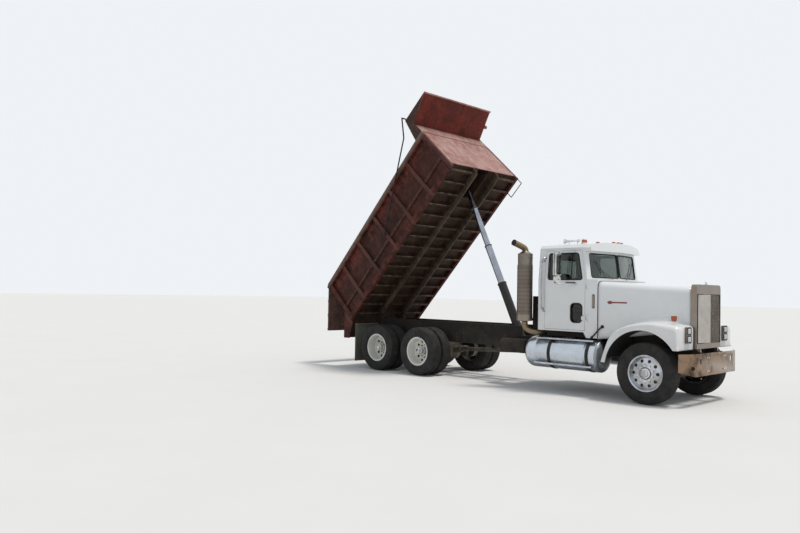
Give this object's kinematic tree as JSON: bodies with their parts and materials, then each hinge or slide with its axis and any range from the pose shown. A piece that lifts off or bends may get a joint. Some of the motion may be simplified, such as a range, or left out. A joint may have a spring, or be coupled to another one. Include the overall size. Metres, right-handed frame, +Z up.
{
  "type": "dump truck",
  "caption": "Conventional-cab dump truck with a raised ribbed steel bed on a telescopic hoist, a hanging tailgate, tilting hood, opening doors, steering and turning wheels.",
  "frame": {"origin": "centre of the bounding box at ground level, under the wheels", "axes": "+X forward along the frame, +Y to the vehicle's left, +Z up"},
  "size_m": [9.6493, 2.6668, 6.5817],
  "materials": {
    "frame_paint": "semi-gloss",
    "axle_iron": "painted black",
    "tyre_rubber": "worn",
    "polished": "polished",
    "white_steel": "satin",
    "cab_white": "gloss",
    "window_glass": "clear",
    "cab_trim": "dull",
    "amber_lens": "clear",
    "stack_steel": "heat stained",
    "bumper_metal": "polished",
    "flap_rubber": "dull",
    "stainless": "bright",
    "lamp_bezel": "polished",
    "bed_red": "weathered",
    "arm_steel": "weathered",
    "barrel_paint": "gloss",
    "rod_chrome": "polished"
  },
  "bodies": {
    "chassis": {"frame": "frame_paint", "front_axle": "axle_iron", "rear_axles": "axle_iron", "driveline": "axle_iron", "cab_shell": "cab_white", "cab_glass": "window_glass", "cab_interior": "cab_trim", "roof_lamps": "amber_lens", "exhaust_stack": "stack_steel", "fuel_tanks": "polished", "front_bumper": "bumper_metal", "mud_flaps": "flap_rubber"},
    "hood": {"hood_shell": "cab_white", "grille_surround": "stainless", "grille_insert": "stainless", "headlamps": "lamp_bezel"},
    "bed": {"bed_floor": "bed_red", "bed_side_left": "bed_red", "bed_side_right": "bed_red", "bed_front": "bed_red"},
    "tailgate": {"tailgate": "bed_red"},
    "tarp_arms": {"tarp_arms": "arm_steel"},
    "hoist_barrel": {"hoist_barrel": "barrel_paint"},
    "knuckle_left": {"steering_knuckle_left": "axle_iron"},
    "front_wheel_left": {"tyre_front_left": "tyre_rubber", "wheel_front_left": "polished"},
    "middle_wheels_left": {"tyres_middle_left": "tyre_rubber", "wheels_middle_left": "white_steel"},
    "rear_wheels_left": {"tyres_rear_left": "tyre_rubber", "wheels_rear_left": "white_steel"},
    "door_left": {"door_left": "cab_white", "door_glass_left": "window_glass"},
    "knuckle_right": {"steering_knuckle_right": "axle_iron"},
    "front_wheel_right": {"tyre_front_right": "tyre_rubber", "wheel_front_right": "polished"},
    "middle_wheels_right": {"tyres_middle_right": "tyre_rubber", "wheels_middle_right": "white_steel"},
    "rear_wheels_right": {"tyres_rear_right": "tyre_rubber", "wheels_rear_right": "white_steel"},
    "door_right": {"door_right": "cab_white", "door_glass_right": "window_glass"},
    "hoist_stage_1": {"hoist_stage_1": "rod_chrome"},
    "hoist_stage_2": {"hoist_stage_2": "rod_chrome"},
    "hoist_stage_3": {"hoist_stage_3": "rod_chrome"},
    "hoist_stage_4": {"hoist_stage_4": "rod_chrome"}
  },
  "joints": [
    {"name": "bed_tip", "type": "hinge", "parent": "chassis", "child": "bed", "pos_m": [-3.583, 0, 1.13], "axis": [0, -1, 0], "range_deg": [-47.3, 0]},
    {"name": "tailgate_hinge", "type": "hinge", "parent": "bed", "child": "tailgate", "pos_m": [-4.78585, 0, 2.00591], "axis": [0, -1, 0], "range_deg": [-47.1, 45]},
    {"name": "tarp_arm_pivot", "type": "hinge", "parent": "bed", "child": "tarp_arms", "pos_m": [-2.60155, 0, 3.29953], "axis": [0, -1, 0], "range_deg": [0, 110]},
    {"name": "hoist_base", "type": "hinge", "parent": "chassis", "child": "hoist_barrel", "pos_m": [0.571, 0, 0.9], "axis": [0, -1, 0], "range_deg": [-36.68, 0]},
    {"name": "hoist_slide_1", "type": "slide", "parent": "hoist_barrel", "child": "hoist_stage_1", "axis": [-0.4278, 0, 0.9039], "range_m": [-0.93001, 0]},
    {"name": "hoist_slide_2", "type": "slide", "parent": "hoist_stage_1", "child": "hoist_stage_2", "axis": [-0.4278, 0, 0.9039], "range_m": [-0.98001, 0]},
    {"name": "hoist_slide_3", "type": "slide", "parent": "hoist_stage_2", "child": "hoist_stage_3", "axis": [-0.4278, 0, 0.9039], "range_m": [-0.90001, 0]},
    {"name": "hoist_slide_4", "type": "slide", "parent": "hoist_stage_3", "child": "hoist_stage_4", "axis": [-0.4278, 0, 0.9039], "range_m": [-0.48969, 0]},
    {"name": "hood_hinge", "type": "hinge", "parent": "chassis", "child": "hood", "pos_m": [4.757, 0, 0.89], "axis": [0, 1, 0], "range_deg": [0, 75]},
    {"name": "door_hinge_left", "type": "hinge", "parent": "chassis", "child": "door_left", "pos_m": [2.745, 1.04, 1.7], "axis": [0, 0, -1], "range_deg": [0, 70]},
    {"name": "steering_left", "type": "hinge", "parent": "chassis", "child": "knuckle_left", "pos_m": [4.017, 0.9, 0.552], "axis": [0, 0, 1], "range_deg": [-35, 35]},
    {"name": "front_wheel_spin_left", "type": "hinge", "parent": "knuckle_left", "child": "front_wheel_left", "pos_m": [4.017, 1.017, 0.552], "axis": [0, 1, 0], "continuous": true},
    {"name": "middle_wheels_spin_left", "type": "hinge", "parent": "chassis", "child": "middle_wheels_left", "pos_m": [-1.511, 0.932, 0.552], "axis": [0, 1, 0], "continuous": true},
    {"name": "rear_wheels_spin_left", "type": "hinge", "parent": "chassis", "child": "rear_wheels_left", "pos_m": [-2.881, 0.932, 0.552], "axis": [0, 1, 0], "continuous": true},
    {"name": "door_hinge_right", "type": "hinge", "parent": "chassis", "child": "door_right", "pos_m": [2.745, -1.04, 1.7], "axis": [0, 0, 1], "range_deg": [0, 70]},
    {"name": "steering_right", "type": "hinge", "parent": "chassis", "child": "knuckle_right", "pos_m": [4.017, -0.9, 0.552], "axis": [0, 0, 1], "range_deg": [-35, 35]},
    {"name": "front_wheel_spin_right", "type": "hinge", "parent": "knuckle_right", "child": "front_wheel_right", "pos_m": [4.017, -1.017, 0.552], "axis": [0, 1, 0], "continuous": true},
    {"name": "middle_wheels_spin_right", "type": "hinge", "parent": "chassis", "child": "middle_wheels_right", "pos_m": [-1.511, -0.932, 0.552], "axis": [0, 1, 0], "continuous": true},
    {"name": "rear_wheels_spin_right", "type": "hinge", "parent": "chassis", "child": "rear_wheels_right", "pos_m": [-2.881, -0.932, 0.552], "axis": [0, 1, 0], "continuous": true}
  ],
  "couplings": [
    {"joint": "hoist_base", "follows": "bed_tip", "ratio": 0.77538},
    {"joint": "hoist_slide_1", "follows": "bed_tip", "m_per_rad": 1.1265},
    {"joint": "hoist_slide_2", "follows": "bed_tip", "m_per_rad": 1.1871},
    {"joint": "hoist_slide_3", "follows": "bed_tip", "m_per_rad": 1.0902},
    {"joint": "hoist_slide_4", "follows": "bed_tip", "m_per_rad": 0.59316},
    {"joint": "steering_right", "follows": "steering_left", "ratio": 1}
  ]
}
